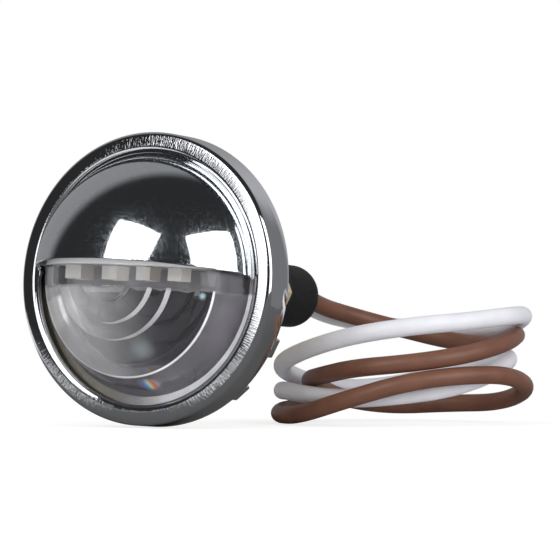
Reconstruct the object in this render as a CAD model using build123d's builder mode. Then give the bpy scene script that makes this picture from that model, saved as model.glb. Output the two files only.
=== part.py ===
from build123d import *

import os
from math import atan2, cos, pi, radians, sin, sqrt, tan

# Number plate lamp. All sizes are in millimetres.
# The flat rear seat of the hub is the XZ plane at Y = 0. The lamp shines towards -Y and downwards,
# and its threaded stud points to +Y, through the panel that carries the lamp.

# Chrome cover: wall, rolled rim, half-dome hood and window
rim_radius = 23.0  # outside of the wall
sheet = 0.7  # pressed steel sheet
rim_corner = 0.9  # rolled front corner of the rim
rim_crown = 1.2  # flat front of the rim
rim_width = 3.5  # from the wall to the foot of the hood
bead_height = 1.0  # how far the rim stands in front of the hood's foot
edge_setback = 0.7  # back edge of the wall, in front of the plate's rear face
hood_depth = 15.5  # from the hood's foot to its tip
window_lip = 0.35  # window edge, outside the hood's foot
hood_edge = 0.85  # height of the hood's straight lower edge at its foot
hood_rise = 5.0  # degrees that this edge rises to the front
window_corner = 1.5
tab_reach = 2.5  # folded tab, inwards from the wall's outside
tab_bend = 0.9
tab_arc = 8.0  # degrees of the wall that one tab takes up
tab_angles = (-25.9, -48.6, -131.4, -154.1, 90.0)

# Base plate, dished to a flat hub
plate = 1.0
plate_clearance = 0.1
hub_dish = 1.1
hub_radius = 10.5
hub_slope = 1.8

# Lens and its gasket
flange = 2.0
flange_clearance = 0.5
lens_rim = 1.25  # lens wall at the flange
lens_clearance = 0.5
lens_wall = 1.6
lens_skin = 1.2  # depth of one step
lens_tip_gap = 1.9  # from the lens to the inside of the hood's tip
lens_curve = 15.5  # radius of the lens front at its middle
lens_overlap = 1.2  # lens above the hood's edge
lens_shelf = 1.8  # top of the steps, below the lamp's axis
lens_lead = 0.25  # smooth front, ahead of the steps
lens_draft = 0.15
shoulder_inset = 2.735  # from the lens's foot to its first step
step_widths = (2.1, 3.5, 2.5, 3.1)
centre_skin = 2.5
gasket = 1.65
gasket_clearance = 0.3
gasket_width = 2.1

# Light unit: bracket, board and what is soldered to it
board = 1.6
board_bottom = 1.4  # underside, above the lamp's axis
board_depth = 7.7
board_corner = 2.8  # length of the cut front corners
board_gap = 0.6  # around the board, inside the lens
bracket = 0.7
bracket_height = 3.2
bracket_foot = 2.8
bracket_front = 0.2  # from the bracket's front face to the hood's foot
led_width = 2.5
led_length = 2.8
led_height = 1.9
led_margin = 1.2
led_setback = 0.96  # from the LEDs to the board's front edge
chip_length = 3.2
chip_width = 1.6
chip_height = 0.6
chip_spacing = 14.0
diode_length = 4.3
diode_width = 2.6
diode_height = 2.2
parts_setback = 3.2  # middle of the parts on top, from the board's front edge

# Hollow stud with its washer and nut
stud_radius = 5.0
stud_length = 29.0
stud_bore = 3.2
head_radius = 7.0
head = 1.5
spigot_radius = 4.2
spigot_length = 6.0
stud_fit = 0.1
nut_flats = 14.0
nut_height = 4.0
nut_place = 21.4  # front face of the nut, behind the seat
nut_chamfer = 0.7
washer_radius = 8.5
washer = 0.9
washer_teeth = 12
tooth_depth = 1.6
tooth_gap = 1.1

# Rubber boot on the stud's end
boot_radius = 5.15
boot_length = 12.0
boot_round = 3.0
boot_fit = 0.05

# Wires
wire_radius = 1.45
wire_spacing = 3.4
conductor_radius = 0.6
conductor_bend = 1.2
conductor_gap = 0.5
conductor_end = 1.9  # bare end lying on the board
solder_gap = 0.02
strip_gap = 0.45  # insulation ends this far in front of the stud's head

# The table that the rim and the loose wires lie on
table_slope = 0.076

# Loose wires, from the boot to the place where they join the coil
brown_route = [
    (1.7, 41.0, 0.0),
    (1.7, 45.8, -1.2),
    (3.5, 51.1, -2.1),
    (7.0, 55.5, -3.2),
    (11.8, 58.5, -4.3),
    (17.3, 59.7, -5.4),
    (22.8, 59.1, -6.0),
    (27.6, 56.8, -6.1),
    (31.6, 53.9, -5.9),
]
white_route = [
    (-1.7, 41.0, 0.0),
    (-1.7, 46.3, -1.0),
    (-0.5, 51.9, -2.4),
    (2.3, 56.8, -3.1),
    (6.5, 60.6, -3.5),
    (11.7, 62.7, -3.7),
    (17.3, 63.0, -3.8),
    (22.7, 61.7, -3.6),
    (27.7, 59.2, -3.3),
    (32.6, 55.6, -3.1),
]

# Coil of the loose wires: a ring with a sloping top
coil_centre = (22.5, 36.5)
coil_turn = 32.4  # degrees
coil_outer = 23.4
coil_inner = 12.6
coil_height = 15.0
coil_rise = (0.214, -0.146)
coil_entry = 38.0  # degrees, where the two wires join it
coil_entry_arc = 80.0
coil_entry_height = 10.8

# Planes of the stack, from the rear seat forwards
plate_back = -hub_dish
plate_front = plate_back - plate
gasket_front = plate_front - gasket
flange_front = gasket_front - flange
foot = flange_front - sheet  # the hood's foot, at the rim's valley
wall_back = plate_back - edge_setback

# Hood: two concentric spheres
foot_radius = rim_radius - rim_width
dome_radius = (foot_radius**2 + hood_depth**2) / (2 * hood_depth)
dome_centre = foot - hood_depth + dome_radius
dome_inside = dome_radius - sheet
wall_inside = rim_radius - sheet
rim_slope = atan2(bead_height, rim_width - rim_corner - rim_crown)
seat_radius = sqrt(dome_inside**2 - (flange_front - dome_centre) ** 2)
seat_edge = foot_radius + sheet * tan(rim_slope / 2)
crown_front = foot - bead_height
crown_edge = rim_radius - rim_corner - rim_crown
crown_edge_inside = crown_edge + sheet * tan(rim_slope / 2)


def on_circle(radius, angle):
    return (radius * cos(radians(angle)), radius * sin(radians(angle)))


def on_dome(radius, part_way):
    """Point of a dome's arc at a share of the way from its tip towards its equator."""
    return (radius * sin(part_way), dome_centre - radius * cos(part_way))


def ring_plane(angle):
    """Plane through the lamp's axis, with its x direction outwards at this angle."""
    across, up = on_circle(1.0, angle)
    return Plane(origin=(0, 0, 0), x_dir=(across, 0, up), z_dir=(-up, 0, across))


# The hood's lower edge and the lens share a plane that rises a little to the front
rise = radians(hood_rise)
window_plane = Plane(origin=(0, foot, 0), x_dir=(1, 0, 0), z_dir=(0, -cos(rise), sin(rise)))

# Lens profile, as radius and place along Y. Each step's lip lies on one shallow curve.
lens_foot = seat_radius - lens_clearance
flange_inner = lens_foot - lens_rim
lens_height = hood_depth - sheet - lens_tip_gap
lens_tip = foot - lens_height
lip_radii = [lens_foot - shoulder_inset]
for width in step_widths:
    lip_radii.append(lip_radii[-1] - width)


def lip(radius):
    return lens_tip + radius**2 / (2 * lens_curve)


lens_steps = []
for radius in lip_radii:
    lens_steps.append((radius, lip(radius)))
    lens_steps.append((radius - lens_draft, lip(radius) + lens_skin))

# Cavity of the lens: a cone up to the shoulder, then a dome
shoulder_radius = lip_radii[0] - lens_wall
shoulder = lip(lip_radii[0]) + lens_skin
cavity_tip = lens_tip + centre_skin
cavity_rise = shoulder - cavity_tip
cavity_dome = (shoulder_radius**2 + cavity_rise**2) / (2 * cavity_rise)
cavity_centre = cavity_tip + cavity_dome


def cavity(place):
    """Radius of the lens's cavity at a place along Y."""
    if place < shoulder:
        return sqrt(cavity_dome**2 - (cavity_centre - place) ** 2)
    share = (place - shoulder) / (gasket_front - shoulder)
    return shoulder_radius + share * (flange_inner - shoulder_radius)


# Light unit, fitted into the cavity
bracket_back = foot + bracket_front + bracket
board_back = bracket_back
board_front = board_back - board_depth
board_top = board_bottom + board


def board_half(place):
    return sqrt(cavity(place) ** 2 - board_top**2) - board_gap


board_side = board_half(board_front + board_corner)
board_nose = board_half(board_front)
led_front = board_front + led_setback
led_pitch = 2 * (board_half(led_front) - led_margin - led_width / 2) / 3
led_places = [(number - 1.5) * led_pitch for number in range(4)]

os.makedirs("parts", exist_ok=True)

with BuildPart() as chrome_cover:
    with BuildSketch() as rim_profile:
        with BuildLine():
            front_corner = (rim_radius - rim_corner, crown_front)
            corner_start = (rim_radius, crown_front + rim_corner)
            Polyline((wall_inside, wall_back), (rim_radius, wall_back), corner_start)
            RadiusArc(corner_start, front_corner, rim_corner)
            Polyline(front_corner, (crown_edge, crown_front), (foot_radius, foot))
            tilt = atan2(foot_radius, dome_centre - foot)
            ThreePointArc((foot_radius, foot), on_dome(dome_radius, tilt / 2), on_dome(dome_radius, 0))
            Line(on_dome(dome_radius, 0), on_dome(dome_inside, 0))
            tilt = atan2(seat_radius, dome_centre - flange_front)
            ThreePointArc(on_dome(dome_inside, 0), on_dome(dome_inside, tilt / 2), (seat_radius, flange_front))
            Polyline(
                (seat_radius, flange_front),
                (seat_edge, flange_front),
                (crown_edge_inside, crown_front + sheet),
                (wall_inside, crown_front + sheet),
                (wall_inside, wall_back),
            )
        make_face()
    revolve(axis=Axis.Y)
    # Window: the part of the dome below the hood's edge
    window_start = flange + foot_radius * tan(rise)
    with BuildSketch(window_plane.offset(-window_start)):
        Circle(foot_radius + window_lip)
        with Locations((0, hood_edge)):
            Rectangle(2 * rim_radius, rim_radius, align=(Align.CENTER, Align.MIN), mode=Mode.SUBTRACT)
        corners = vertices()
        fillet(corners, window_corner)
    extrude(amount=window_start + hood_depth + sheet, mode=Mode.SUBTRACT)
    # Tabs folded inwards behind the plate
    for angle in tab_angles:
        with BuildSketch(ring_plane(angle + tab_arc / 2)):
            with BuildLine():
                Polyline(
                    (wall_inside, wall_back),
                    (rim_radius, wall_back),
                    (rim_radius, plate_back + sheet),
                    (rim_radius - tab_reach, plate_back + sheet),
                    (rim_radius - tab_reach, plate_back),
                    (wall_inside, plate_back),
                    close=True,
                )
            make_face()
            bend = vertices().sort_by(Axis.Y)[-2:].sort_by_distance((0, 0, 0))[-1]
            fillet(bend, tab_bend)
        revolve(axis=Axis.Y, revolution_arc=tab_arc)
chrome_cover.part.label = "chrome_cover"
export_step(chrome_cover.part, "parts/chrome_cover.step")

with BuildPart() as base_plate:
    with BuildSketch():
        with BuildLine():
            step_in = plate * tan(atan2(hub_dish, hub_slope) / 2)
            Polyline(
                (stud_radius + stud_fit, 0),
                (hub_radius, 0),
                (hub_radius + hub_slope, plate_back),
                (wall_inside - plate_clearance, plate_back),
                (wall_inside - plate_clearance, plate_front),
                (hub_radius + hub_slope - step_in, plate_front),
                (hub_radius - step_in, -plate),
                (stud_radius + stud_fit, -plate),
                close=True,
            )
        make_face()
    revolve(axis=Axis.Y)
base_plate.part.label = "base_plate"
export_step(base_plate.part, "parts/base_plate.step")

with BuildPart() as lens_gasket:
    with BuildSketch(Plane.XZ.offset(-plate_front)):
        Circle(wall_inside - gasket_clearance)
        Circle(wall_inside - gasket_clearance - gasket_width, mode=Mode.SUBTRACT)
    extrude(amount=gasket)
lens_gasket.part.label = "lens_gasket"
export_step(lens_gasket.part, "parts/lens_gasket.step")

shelf_plane = Plane.XY.offset(-lens_shelf)
with BuildPart() as lens:
    # Both halves of the lens have the same foot and the same cavity
    with BuildLine(mode=Mode.PRIVATE) as lens_inside:
        half = atan2(shoulder_radius, cavity_centre - shoulder) / 2
        ThreePointArc(
            (0, cavity_tip),
            (cavity_dome * sin(half), cavity_centre - cavity_dome * cos(half)),
            (shoulder_radius, shoulder),
        )
        Polyline(
            (shoulder_radius, shoulder),
            (flange_inner, gasket_front),
            (lens_foot, gasket_front),
            (lens_foot, flange_front),
            lens_steps[0],
        )
    # Smooth front in front of the LEDs
    with BuildSketch():
        with BuildLine():
            add(lens_inside.line)
            front_slope = lip_radii[0] / lens_curve
            Spline(
                lens_steps[0],
                (lip_radii[0] / 2, lip(lip_radii[0] / 2) - lens_lead),
                (0, lens_tip - lens_lead),
                tangents=[(-1, -front_slope), (-1, 0)],
            )
            Line((0, lens_tip - lens_lead), (0, cavity_tip))
        make_face()
    revolve(axis=Axis.Y)
    lens_top = hood_edge + lens_overlap
    split(bisect_by=Plane(origin=window_plane.from_local_coords((0, lens_top, 0)), z_dir=window_plane.y_dir), keep=Keep.BOTTOM)
    split(bisect_by=shelf_plane, keep=Keep.TOP)
    # Stepped front below them
    with BuildSketch():
        with BuildLine():
            add(lens_inside.line)
            Polyline(*lens_steps, (0, lens_tip), (0, cavity_tip))
        make_face()
    stepped_bowl = revolve(axis=Axis.Y, mode=Mode.PRIVATE)
    add(split(stepped_bowl, bisect_by=shelf_plane, keep=Keep.BOTTOM, mode=Mode.PRIVATE))
    # Clamped flange, a full ring
    with BuildSketch(Plane.XZ.offset(-gasket_front)):
        Circle(wall_inside - flange_clearance)
        Circle(flange_inner, mode=Mode.SUBTRACT)
    extrude(amount=flange)
lens.part.label = "lens"
export_step(lens.part, "parts/lens.step")

with BuildPart() as board_bracket:
    # One folded strip: feet, legs and the web that carries the board
    with BuildSketch(Plane.XY.offset(board_bottom - bracket_height)):
        with BuildLine():
            outer = board_side
            inner = board_side - bracket
            tip = board_side + bracket_foot
            web_front = bracket_back - bracket
            Polyline(
                (-tip, plate_front),
                (-inner, plate_front),
                (-inner, bracket_back),
                (inner, bracket_back),
                (inner, plate_front),
                (tip, plate_front),
                (tip, plate_front - bracket),
                (outer, plate_front - bracket),
                (outer, web_front),
                (-outer, web_front),
                (-outer, plate_front - bracket),
                (-tip, plate_front - bracket),
                close=True,
            )
        make_face()
    extrude(amount=bracket_height)
    folds = edges().filter_by(Axis.Z).group_by(Axis.Y)[0]
    fillet(folds, bracket)
board_bracket.part.label = "board_bracket"
export_step(board_bracket.part, "parts/board_bracket.step")

with BuildPart() as led_board:
    with BuildSketch(Plane.XY.offset(board_bottom)):
        with BuildLine():
            corner = board_front + board_corner
            Polyline(
                (-board_side, board_back),
                (board_side, board_back),
                (board_side, corner),
                (board_nose, board_front),
                (-board_nose, board_front),
                (-board_side, corner),
                close=True,
            )
        make_face()
    extrude(amount=board)
led_board.part.label = "led_board"
export_step(led_board.part, "parts/led_board.step")

# Four LED packages under the board, each with a shallow round cup for its light
for number, place in enumerate(led_places, start=1):
    with BuildPart() as led:
        with BuildSketch(Plane.XY.offset(board_bottom - led_height)):
            with Locations((place, led_front + led_length / 2)):
                Rectangle(led_width, led_length)
        extrude(amount=led_height)
        with BuildSketch(Plane.XY.offset(board_bottom - led_height)):
            with Locations((place, led_front + led_length / 2)):
                Circle(0.4 * led_width)
        extrude(amount=0.2 * led_height, taper=20, mode=Mode.SUBTRACT)
    led.part.label = f"led_{number}"
    export_step(led.part, f"parts/led_{number}.step")

# Parts of the supply circuit on top of the board
parts_line = board_front + parts_setback
for number, place in enumerate((-chip_spacing / 2, chip_spacing / 2), start=1):
    with BuildPart() as resistor:
        with BuildSketch(Plane.XY.offset(board_top)):
            with Locations((place, parts_line)):
                Rectangle(chip_length, chip_width)
        extrude(amount=chip_height)
    resistor.part.label = f"resistor_{number}"
    export_step(resistor.part, f"parts/resistor_{number}.step")

with BuildPart() as diode:
    with BuildSketch(Plane.XY.offset(board_top)):
        with Locations((0, parts_line)):
            Rectangle(diode_length, diode_width)
    extrude(amount=diode_height, taper=5)
diode.part.label = "diode"
export_step(diode.part, "parts/diode.step")

with BuildPart() as hollow_stud:
    with BuildSketch():
        with BuildLine():
            spigot_end = stud_length + spigot_length
            Polyline(
                (stud_bore, -plate - head),
                (head_radius, -plate - head),
                (head_radius, -plate),
                (stud_radius, -plate),
                (stud_radius, stud_length),
                (spigot_radius, stud_length),
                (spigot_radius, spigot_end),
                (stud_bore, spigot_end),
                close=True,
            )
        make_face()
    revolve(axis=Axis.Y)
    end_edge = edges().filter_by(GeomType.CIRCLE).filter_by_position(Axis.Y, stud_length, stud_length).sort_by(SortBy.RADIUS)[-1]
    chamfer(end_edge, (stud_radius - spigot_radius) / 2)
hollow_stud.part.label = "hollow_stud"
export_step(hollow_stud.part, "parts/hollow_stud.step")

# Internal-tooth washer: short teeth around the stud
with BuildPart() as lock_washer:
    with BuildSketch(Plane.XZ.offset(washer - nut_place)):
        Circle(washer_radius)
        Circle(stud_radius + stud_fit, mode=Mode.SUBTRACT)
        with PolarLocations(stud_radius + stud_fit + tooth_depth / 2 - 0.1, washer_teeth):
            Rectangle(tooth_depth + 0.2, tooth_gap, mode=Mode.SUBTRACT)
    extrude(amount=-washer)
lock_washer.part.label = "lock_washer"
export_step(lock_washer.part, "parts/lock_washer.step")

# Hexagon nut with the corners of both faces turned off
with BuildPart() as hex_nut:
    with BuildSketch(Plane.XZ.offset(-nut_place)):
        RegularPolygon(nut_flats / 2, 6, major_radius=False)
    extrude(amount=-nut_height)
    nut_corner = nut_flats / 2 / cos(pi / 6)
    with BuildSketch():
        with BuildLine():
            Polyline(
                (0, nut_place),
                (nut_corner - nut_chamfer, nut_place),
                (nut_corner, nut_place + nut_chamfer / 2),
                (nut_corner, nut_place + nut_height - nut_chamfer / 2),
                (nut_corner - nut_chamfer, nut_place + nut_height),
                (0, nut_place + nut_height),
                close=True,
            )
        make_face()
    revolve(axis=Axis.Y, mode=Mode.INTERSECT)
    with BuildSketch(Plane.XZ.offset(-nut_place)):
        Circle(stud_radius + stud_fit)
    extrude(amount=-nut_height, mode=Mode.SUBTRACT)
hex_nut.part.label = "hex_nut"
export_step(hex_nut.part, "parts/hex_nut.step")

boot_end = stud_length + boot_length
with BuildPart() as rubber_boot:
    with BuildSketch(Plane.XZ.offset(-stud_length)):
        Circle(boot_radius)
    extrude(amount=-boot_length)
    end_edge = edges().filter_by(GeomType.CIRCLE).sort_by(Axis.Y)[-1]
    fillet(end_edge, boot_round)
    # Socket for the stud's spigot
    with BuildSketch(Plane.XZ.offset(-stud_length)):
        Circle(spigot_radius + boot_fit)
    extrude(amount=-spigot_length, mode=Mode.SUBTRACT)
    # One hole for each wire
    with BuildSketch(Plane.XZ.offset(-stud_length)):
        with GridLocations(wire_spacing, 1, 2, 1):
            Circle(wire_radius + boot_fit)
    extrude(amount=-boot_length, mode=Mode.SUBTRACT)
rubber_boot.part.label = "rubber_boot"
export_step(rubber_boot.part, "parts/rubber_boot.step")

# Wires inside the lamp: insulated through the stud, then a bare conductor up to the top of the board
strip_end = -plate - head - strip_gap
riser = board_back + conductor_gap + conductor_radius
solder_height = board_top + conductor_radius + solder_gap
solder_end = board_back - conductor_end
for name, side in (("brown_wire_inner", 1), ("white_wire_inner", -1)):
    across = side * wire_spacing / 2
    with BuildPart() as wire_inner:
        with BuildSketch(Plane.XZ.offset(-boot_end)):
            with Locations((across, 0)):
                Circle(wire_radius)
        extrude(amount=boot_end - strip_end)
        with BuildLine() as conductor_path:
            FilletPolyline(
                (across, strip_end, 0),
                (across, riser, 0),
                (across, riser, solder_height),
                (across, solder_end, solder_height),
                radius=conductor_bend,
            )
        with BuildSketch(Plane.XZ.offset(-strip_end)):
            with Locations((across, 0)):
                Circle(conductor_radius)
        sweep(path=conductor_path.line)
    wire_inner.part.label = name
    export_step(wire_inner.part, f"parts/{name}.step")


def table_height(place):
    return -rim_radius + table_slope * (place - wall_back)


def corner_radii(route):
    """Largest arc for each corner of a route that both of its runs have room for."""
    radii = []
    for before, here, after in zip(route, route[1:], route[2:]):
        run_in = Vector(here) - Vector(before)
        run_out = Vector(after) - Vector(here)
        half_turn = radians(run_in.get_angle(run_out)) / 2
        radii.append(0.45 * min(run_in.length, run_out.length) / tan(half_turn))
    return radii


# Coil of the loose wires, standing on the table
coil_origin = (*coil_centre, table_height(coil_centre[1]))
coil_right = (*on_circle(1.0, coil_turn), table_slope * sin(radians(coil_turn)))
coil_plane = Plane(origin=coil_origin, x_dir=coil_right, z_dir=(0, -table_slope, 1))
entry_x, entry_y = on_circle(1.0, coil_entry)
entry_normal = coil_plane.x_dir * entry_y - coil_plane.y_dir * entry_x
entry_plane = Plane(origin=coil_plane.origin, z_dir=entry_normal)
with BuildPart() as wire_coil:
    with BuildSketch(coil_plane):
        Circle(coil_outer)
        Circle(coil_inner, mode=Mode.SUBTRACT)
    extrude(amount=2 * coil_height)
    top_normal = coil_plane.z_dir - coil_plane.x_dir * coil_rise[0] - coil_plane.y_dir * coil_rise[1]
    split(
        bisect_by=Plane(origin=coil_plane.from_local_coords((0, 0, coil_height)), z_dir=top_normal),
        keep=Keep.BOTTOM,
    )
    # Step in the top, where the two wires come in
    with BuildSketch(coil_plane.offset(coil_entry_height)):
        reach = 2 * coil_outer
        with BuildLine():
            Polyline(
                (0, 0),
                on_circle(reach, coil_entry),
                on_circle(reach, coil_entry + coil_entry_arc),
                close=True,
            )
        make_face()
    extrude(amount=2 * coil_height, mode=Mode.SUBTRACT)
wire_coil.part.label = "wire_coil"
export_step(wire_coil.part, "parts/wire_coil.step")

for name, route in (("brown_lead", brown_route), ("white_lead", white_route)):
    radii = corner_radii(route)
    with BuildPart() as lead:
        with BuildLine() as lead_path:
            FilletPolyline(*route, radius=radii)
        with BuildSketch(Plane(origin=route[0], z_dir=lead_path.line % 0)):
            Circle(wire_radius)
        sweep(path=lead_path.line)
        full_volume = lead.part.volume
        # The wire starts flat on the boot's end and stops flat on the coil's step
        split(bisect_by=Plane(origin=(0, boot_end, 0), z_dir=(0, 1, 0)), keep=Keep.TOP)
        split(bisect_by=entry_plane, keep=Keep.BOTTOM)
    lead.part.label = name
    export_step(lead.part, f"parts/{name}.step")
    expected = pi * wire_radius**2 * lead_path.wire().length
    print(name, "corner radii", [round(radius, 1) for radius in radii])
    print(name, "volume over section times length", round(full_volume / expected, 4))
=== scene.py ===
# %% [markdown]
# # Number plate lamp
# A small round chrome lamp for a number plate: a pressed cover with a half-dome hood, a stepped clear
# lens below the hood, a threaded stud at the back and two loose wires that lie in an open coil.
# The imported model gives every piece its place. This lesson adds the looks on top of it.

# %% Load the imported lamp
from math import atan2, cos, degrees, pi, radians, sin, sqrt, tan

import bpy
from mathutils import Matrix, Vector


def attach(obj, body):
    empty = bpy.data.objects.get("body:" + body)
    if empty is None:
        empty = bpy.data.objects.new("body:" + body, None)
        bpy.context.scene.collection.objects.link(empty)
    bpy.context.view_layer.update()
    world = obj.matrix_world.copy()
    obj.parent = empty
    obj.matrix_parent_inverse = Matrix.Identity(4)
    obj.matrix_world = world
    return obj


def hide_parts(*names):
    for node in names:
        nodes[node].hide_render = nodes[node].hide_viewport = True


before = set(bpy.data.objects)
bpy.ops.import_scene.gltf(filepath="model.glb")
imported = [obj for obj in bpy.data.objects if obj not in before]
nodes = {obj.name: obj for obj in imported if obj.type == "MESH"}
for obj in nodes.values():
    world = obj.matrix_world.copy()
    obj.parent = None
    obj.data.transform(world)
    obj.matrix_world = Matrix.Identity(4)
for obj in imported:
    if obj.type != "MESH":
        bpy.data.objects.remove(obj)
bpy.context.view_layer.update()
mm = 0.001
print("loaded", len(nodes), "nodes")

# %% [markdown]
# ## Camera
# The camera stands a little below the lamp's axis and to the right of it, and leans by three degrees.
# Its place was worked out from the rim's ellipse, so it is written as a direction and a distance from
# the middle of the rim. The picture's middle lies some pixels beside the rim's. The lens is long,
# because the photograph shows little perspective.

# %% Camera
view_azimuth = radians(32.4)
view_elevation = radians(-2.4)
view_roll = radians(3.2)
rim_middle = Vector((0, -6.45 * mm, 0))
distance = 600 * mm
picture_pixels = 560
pixels_per_radian = 3840.0
aim_right_pixels, aim_down_pixels = 133.6, 1.3
sensor_width = 36

level_right = Vector((cos(view_azimuth), sin(view_azimuth), 0))
level_out = Vector((sin(view_azimuth), -cos(view_azimuth), 0))
towards = level_out * cos(view_elevation) + Vector((0, 0, sin(view_elevation)))
level_up = towards.cross(level_right)
camera_right = level_right * cos(view_roll) + level_up * sin(view_roll)
camera_up = level_up * cos(view_roll) - level_right * sin(view_roll)
aim = camera_right * aim_right_pixels - camera_up * aim_down_pixels
look = (aim - towards * pixels_per_radian).normalized()
camera_right = (camera_right - look * camera_right.dot(look)).normalized()
camera_up = camera_right.cross(look)

bpy.ops.object.camera_add()
camera = bpy.context.active_object
facing = Matrix((camera_right, camera_up, -look)).transposed().to_4x4()
camera.matrix_world = Matrix.Translation(rim_middle + towards * distance) @ facing
camera.data.sensor_width = sensor_width
camera.data.lens = pixels_per_radian / picture_pixels * sensor_width
bpy.context.scene.camera = camera
print("camera at", [round(value, 3) for value in camera.location])

# %% [markdown]
# ## Loose wires
# Two insulated wires leave the boot side by side, sweep round to the right and lie in an open coil
# on the table. Each is one smooth curve: its first control points are the route of the solid model,
# and the turns of the coil follow as a loop of points around the coil's middle. Every turn has its own
# radius and height, because nothing ties the coil and its turns fan out.

# %% Wire routes
table_level, level_place = -23.05, -1.8
slope_right, slope_back = 0.025, 0.057
coil_middle = (22.5, 36.5)
coil_step = 30
wire_diameter = 2.9


def table_height(x, y):
    """Height of the table, in mm, below a place. It tilts, because the lamp doesn't stand straight."""
    return table_level + slope_right * x + slope_back * (y - level_place)


def coil_point(angle, radius, height):
    """Point of the coil: angle in degrees from the picture's right, height above the table."""
    turn = radians(angle) + view_azimuth
    x = coil_middle[0] + radius * cos(turn)
    y = coil_middle[1] + radius * sin(turn)
    return (x, y, table_height(x, y) + height)


brown_route = [
    (1.7, 41.0, 0.0),
    (1.7, 45.8, -1.2),
    (3.5, 51.1, -2.1),
    (7.0, 55.5, -3.2),
    (11.8, 58.5, -4.3),
    (17.3, 59.7, -5.4),
    (22.8, 59.1, -6.0),
    (27.6, 56.8, -6.1),
    (31.6, 53.9, -5.9),
]
white_route = [
    (-1.7, 41.0, 0.0),
    (-1.7, 46.3, -1.0),
    (-0.5, 51.9, -2.4),
    (2.3, 56.8, -3.1),
    (6.5, 60.6, -3.5),
    (11.7, 62.7, -3.7),
    (17.3, 63.0, -3.8),
    (22.7, 61.7, -3.6),
    (27.7, 59.2, -3.3),
    (32.6, 55.6, -3.1),
]
# Radius and height of the coil at each step, six steps to a line
brown_turns = [
    (19.3, 15.0), (18.6, 13.2), (18.3, 11.4), (17.9, 10.1), (17.1, 9.3), (15.5, 7.9),
    (14.9, 7.2), (15.3, 6.1), (16.5, 3.7), (17.7, 2.5), (19.1, 3.0), (20.7, 3.3),
    (21.4, 5.9), (19.9, 8.2), (18.3, 8.3), (18.7, 7.2), (18.3, 4.4), (19.1, 1.6),
    (19.8, 1.5), (20.3, 2.3), (21.6, 2.6),
]
white_turns = [
    (20.3, 17.9), (19.1, 17.7), (18.4, 16.8), (18.2, 16.0), (18.5, 14.5), (19.1, 12.0),
    (20.0, 9.6), (19.3, 7.4), (19.6, 5.3), (18.2, 5.8), (17.5, 8.3), (18.1, 10.4),
    (18.4, 11.1), (16.6, 8.3), (14.6, 6.0), (14.1, 5.0), (14.7, 4.3), (16.7, 4.7),
    (19.6, 5.6), (21.2, 5.1),
]


def wire(name, route, turns):
    """A wire as one smooth open curve through its route and around the coil."""
    points = list(route)
    for step, (radius, height) in enumerate(turns):
        points.append(coil_point(-coil_step * step, radius, height))
    line = bpy.data.curves.new(name, "CURVE")
    line.dimensions = "3D"
    line.bevel_depth = 1
    line.bevel_resolution = 8
    line.resolution_u = 10
    line.use_fill_caps = True
    spline = line.splines.new("NURBS")
    spline.points.add(len(points) - 1)
    for control, (x, y, z) in zip(spline.points, points):
        control.co = (x * mm, y * mm, z * mm, 1)
        control.radius = wire_diameter / 2 * mm
    spline.order_u = 3
    spline.use_endpoint_u = True
    piece = bpy.data.objects.new(name, line)
    bpy.context.scene.collection.objects.link(piece)
    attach(piece, "root")
    return piece


brown_wire = wire("brown_wire", brown_route, brown_turns)
white_wire = wire("white_wire", white_route, white_turns)
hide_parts("brown_lead", "wire_coil")
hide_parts("white_lead")

# %% [markdown]
# ## Turned pieces
# The cover, the lens, the stud and the boot are all round about the lamp's axis. Each starts as one ring
# that is extruded and scaled along its profile, as on a lathe. The rings then lie exactly where the
# curve needs them, which a smoothed block could not promise on a mirror.

# %% Helpers for turned pieces
# The weld is a little wider than a tip's last ring, so that each tip closes to one point.
weld_distance = 0.0065


def begin(name):
    """Names the new primitive and applies its place to its mesh."""
    piece = bpy.context.active_object
    piece.name = name
    piece.data.name = name
    bpy.ops.object.transform_apply(location=True, rotation=True, scale=True)
    return piece


def turned(name, profile, segments):
    """Extrudes and scales a ring along a profile of radius and place along Y, in mm."""
    bpy.ops.object.select_all(action="DESELECT")
    radius, place = profile[0]
    bpy.ops.mesh.primitive_circle_add(
        vertices=segments, radius=radius * mm, location=(0, place * mm, 0), rotation=(radians(90), 0, 0)
    )
    piece = begin(name)
    bpy.ops.object.mode_set(mode="EDIT")
    bpy.ops.mesh.select_all(action="SELECT")
    for next_radius, next_place in profile[1:]:
        bpy.ops.mesh.extrude_edges_move(TRANSFORM_OT_translate={"value": (0, (next_place - place) * mm, 0)})
        grow = next_radius / radius
        bpy.ops.transform.resize(value=(grow, 1, grow), center_override=(0, next_place * mm, 0))
        radius, place = next_radius, next_place
    bpy.ops.mesh.select_all(action="SELECT")
    bpy.ops.mesh.remove_doubles(threshold=weld_distance * mm)
    bpy.ops.mesh.delete_loose()
    bpy.ops.mesh.select_all(action="SELECT")
    bpy.ops.mesh.normals_make_consistent(inside=False)
    bpy.ops.object.mode_set(mode="OBJECT")
    return piece


def arc(middle, radius, start, end, steps):
    """Points of an arc in the profile plane. Angles in degrees from +radius towards +Y."""
    points = []
    for step in range(steps + 1):
        angle = radians(start + (end - start) * step / steps)
        points.append((middle[0] + radius * cos(angle), middle[1] + radius * sin(angle)))
    return points


# %% [markdown]
# Modifiers are applied as soon as they are set, so that each piece ends as a plain mesh. The last helper
# smooths a piece, sets it in the frame and hides the plain nodes that it stands for.

# %% Helpers for finishing


def pick(piece):
    """Makes a piece active and the only one that is selected."""
    bpy.ops.object.select_all(action="DESELECT")
    bpy.context.view_layer.objects.active = piece
    piece.select_set(True)


def apply_all(piece):
    """Applies each modifier of a piece, in order."""
    pick(piece)
    for modifier in list(piece.modifiers):
        bpy.ops.object.modifier_apply(modifier=modifier.name)


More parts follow.
